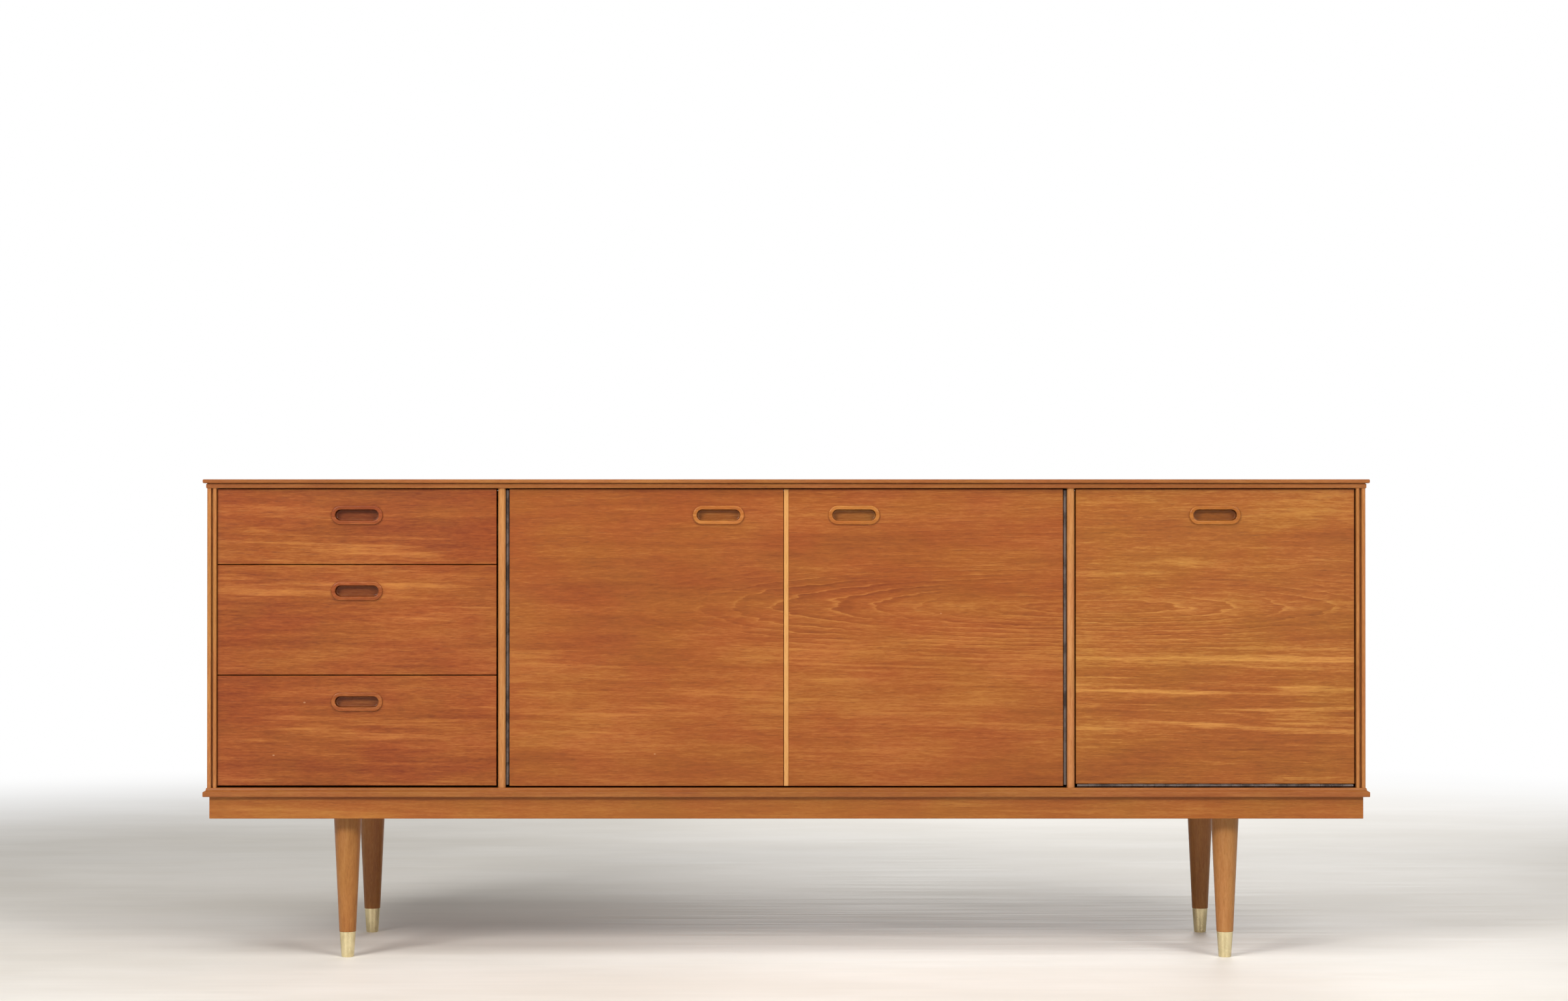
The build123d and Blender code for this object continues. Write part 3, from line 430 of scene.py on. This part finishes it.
def plastic(name, colour):
    """Moulded plastic, faintly mottled."""
    g = Graph(name)
    coordinates = g.object_coordinates()
    mottle = g.noise(coordinates, 60.0, 3.0, 0.5)
    g.feed(g.shader.inputs["Base Color"], g.mix(g.span(mottle, 0.35, 0.65), colour, scaled(colour, 1.3)))
    g.feed(g.shader.inputs["Roughness"], g.span(mottle, 0.3, 0.7, 0.42, 0.55))
    g.feed(g.shader.inputs["Normal"], g.bump(g.noise(coordinates, 900.0, 2.0), 0.1, 0.0001))
    return g.material


brass = metal("brass", linear(232, 219, 176), linear(176, 156, 108), 0.20, (500, 500, 12), 0.3)
hinge_metal = metal("hinge_metal", linear(104, 94, 90), linear(52, 43, 40), 0.5, (300, 300, 60), 0.7)
steel = metal("steel", linear(186, 184, 178), linear(128, 122, 112), 0.34, (300, 60, 300), 0.3)
catch_plastic = plastic("catch_plastic", linear(82, 54, 36))


# ---------------------------------------------------------------- who wears what
def dress(names, material):
    for name in names:
        mesh = nodes[name].data
        mesh.materials.clear()
        mesh.materials.append(material)


drawers = ("top_drawer", "middle_drawer", "bottom_drawer")
dress([f"{name}_front" for name in drawers], drawer_wood)
dress(["left_door_panel", "right_door_panel"], front_wood)
dress(["flap_panel"], flap_wood)
dress([f"{name}_handle" for name in drawers], drawer_handle_wood)
dress([f"{name}_handle" for name in ("left_door", "right_door", "flap")], handle_wood)
dress(["right_door_meeting_strip"], pale_wood)
dress(["top_panel"], top_wood)
dress(["bottom_panel", "shelf"], inside_wood)
dress(["dividers"], inside_upright)
dress(["left_side_panel", "right_side_panel"], side_wood)
dress(["top_lippings", "bottom_lippings"], lipping_wood)
dress(["side_edge_lippings"], edge_lipping)
dress(["divider_lippings"], divider_lipping)
dress(["apron_rails", "apron_ends"], apron_wood)
dress([name for name in nodes if name.endswith("_leg")], leg_wood)
dress(["leg_ferrules"], brass)
dress([f"{name}_sides" for name in drawers] + ["drawer_runners"], beech_wood)
dress([f"{name}_back" for name in drawers], beech_across)
dress([f"{name}_base" for name in drawers] + ["back_panel"], ply_wood)
dress([name for name in nodes if "hinge" in name], hinge_metal)
dress([name for name in nodes if name.endswith(("_screws", "_strike"))], steel)
dress(["leg_plates", "hanger_bolts", "shelf_pins", "stay_arm", "stay_bracket", "stay_pivot"], steel)
dress(["magnetic_catches"], catch_plastic)

# ---------------------------------------------------------------- floor
FLOOR_REACH = 60.0
FADE_FROM = 2.0  # metres from the object's middle, where the floor starts to turn white
FADE_TO = 4.2


def floor_material():
    """Pale limed floor that turns white away from the object, to meet the white background."""
    g = Graph("floor_paint")
    coordinates = g.object_coordinates()
    cloud = g.noise(g.mapping(coordinates, (1.2, 2.6, 1.0)), 1.0, 4.0, 0.6)
    streak = g.noise(g.mapping(coordinates, (2.0, 60.0, 1.0)), 1.0, 3.0, 0.6)
    colour = g.mix(g.span(cloud, 0.3, 0.7), linear(236, 231, 222), linear(247, 243, 236))
    shade = g.span(streak, 0.3, 0.7, 0.975, 1.012)
    grey = g.node("ShaderNodeCombineColor", {0: shade, 1: shade, 2: shade}).outputs[0]
    g.feed(g.shader.inputs["Base Color"], g.mix(1.0, colour, grey, "MULTIPLY"))
    g.feed(g.shader.inputs["Roughness"], g.span(streak, 0.3, 0.7, 0.5, 0.65))
    white = g.node("ShaderNodeEmission", {"Color": WHITE, "Strength": 1.0}).outputs[0]
    faded = g.span(g.length(coordinates), FADE_FROM, FADE_TO)
    both = g.node("ShaderNodeMixShader", {0: faded, 1: g.shader.outputs[0], 2: white}).outputs[0]
    g.tree.links.new(both, g.tree.nodes["Material Output"].inputs["Surface"])
    return g.material


floor_mesh = bpy.data.meshes.new("floor")
floor_corners = [
    (-FLOOR_REACH, -FLOOR_REACH, cad_low.z),
    (FLOOR_REACH, -FLOOR_REACH, cad_low.z),
    (FLOOR_REACH, FLOOR_REACH, cad_low.z),
    (-FLOOR_REACH, FLOOR_REACH, cad_low.z),
]
floor_mesh.from_pydata(floor_corners, [], [(0, 1, 2, 3)])
floor_mesh.materials.append(floor_material())
floor = bpy.data.objects.new("floor", floor_mesh)
bpy.context.scene.collection.objects.link(floor)

# ---------------------------------------------------------------- light and camera
WINDOW_TINT = (1.0, 0.985, 0.96)
ROOM_TINT = (1.0, 0.99, 0.975)
ROOM_LIGHT = 0.22  # strength of the even light from all round
EYE = (-0.0036, -5.51, 0.696)  # metres: square to the fronts, and a little under the top's height
EYE_PITCH = math.radians(90.29)  # 90 degrees looks level
LENS = 77.4  # mm
SENSOR_WIDTH = 36.0  # mm


def softbox(name, place, target, size, watts, tint):
    """A rectangular light that faces the target."""
    lamp = bpy.data.lights.new(name, "AREA")
    lamp.shape = "RECTANGLE"
    lamp.size, lamp.size_y = size
    lamp.energy = watts
    lamp.color = tint
    made = bpy.data.objects.new(name, lamp)
    made.location = place
    direction = Vector(target) - made.location
    made.rotation_euler = direction.to_track_quat("-Z", "Y").to_euler()
    bpy.context.scene.collection.objects.link(made)


middle = (cad_low + cad_high) / 2
softbox("left_window", (-2.9, -4.5, 2.9), middle, (1.8, 1.2), 174, WINDOW_TINT)
softbox("right_window", (2.9, -4.5, 2.9), middle, (1.8, 1.2), 118, WINDOW_TINT)
softbox("ceiling", (0.0, -2.2, 3.6), (0.0, -1.2, 0.0), (4.5, 2.0), 86, ROOM_TINT)
softbox("behind", (0.9, 3.8, 1.3), middle, (2.6, 1.4), 36, ROOM_TINT)

# the world lights the object weakly, and the camera sees it plain white
world = bpy.data.worlds.new("studio")
world.use_nodes = True
world_nodes = world.node_tree.nodes
world_links = world.node_tree.links
lighting = world_nodes["Background"]
lighting.inputs["Color"].default_value = WHITE
lighting.inputs["Strength"].default_value = ROOM_LIGHT
seen = world_nodes.new("ShaderNodeBackground")
seen.inputs["Color"].default_value = WHITE
rays = world_nodes.new("ShaderNodeLightPath")
choice = world_nodes.new("ShaderNodeMixShader")
world_links.new(rays.outputs["Is Camera Ray"], choice.inputs[0])
world_links.new(lighting.outputs[0], choice.inputs[1])
world_links.new(seen.outputs[0], choice.inputs[2])
world_links.new(choice.outputs[0], world_nodes["World Output"].inputs["Surface"])
bpy.context.scene.world = world
bpy.context.scene.view_settings.view_transform = "Standard"

camera_data = bpy.data.cameras.new("camera")
camera_data.lens = LENS
camera_data.sensor_width = SENSOR_WIDTH
camera = bpy.data.objects.new("camera", camera_data)
camera.location = EYE
camera.rotation_euler = (EYE_PITCH, 0, 0)
bpy.context.scene.collection.objects.link(camera)
bpy.context.scene.camera = camera
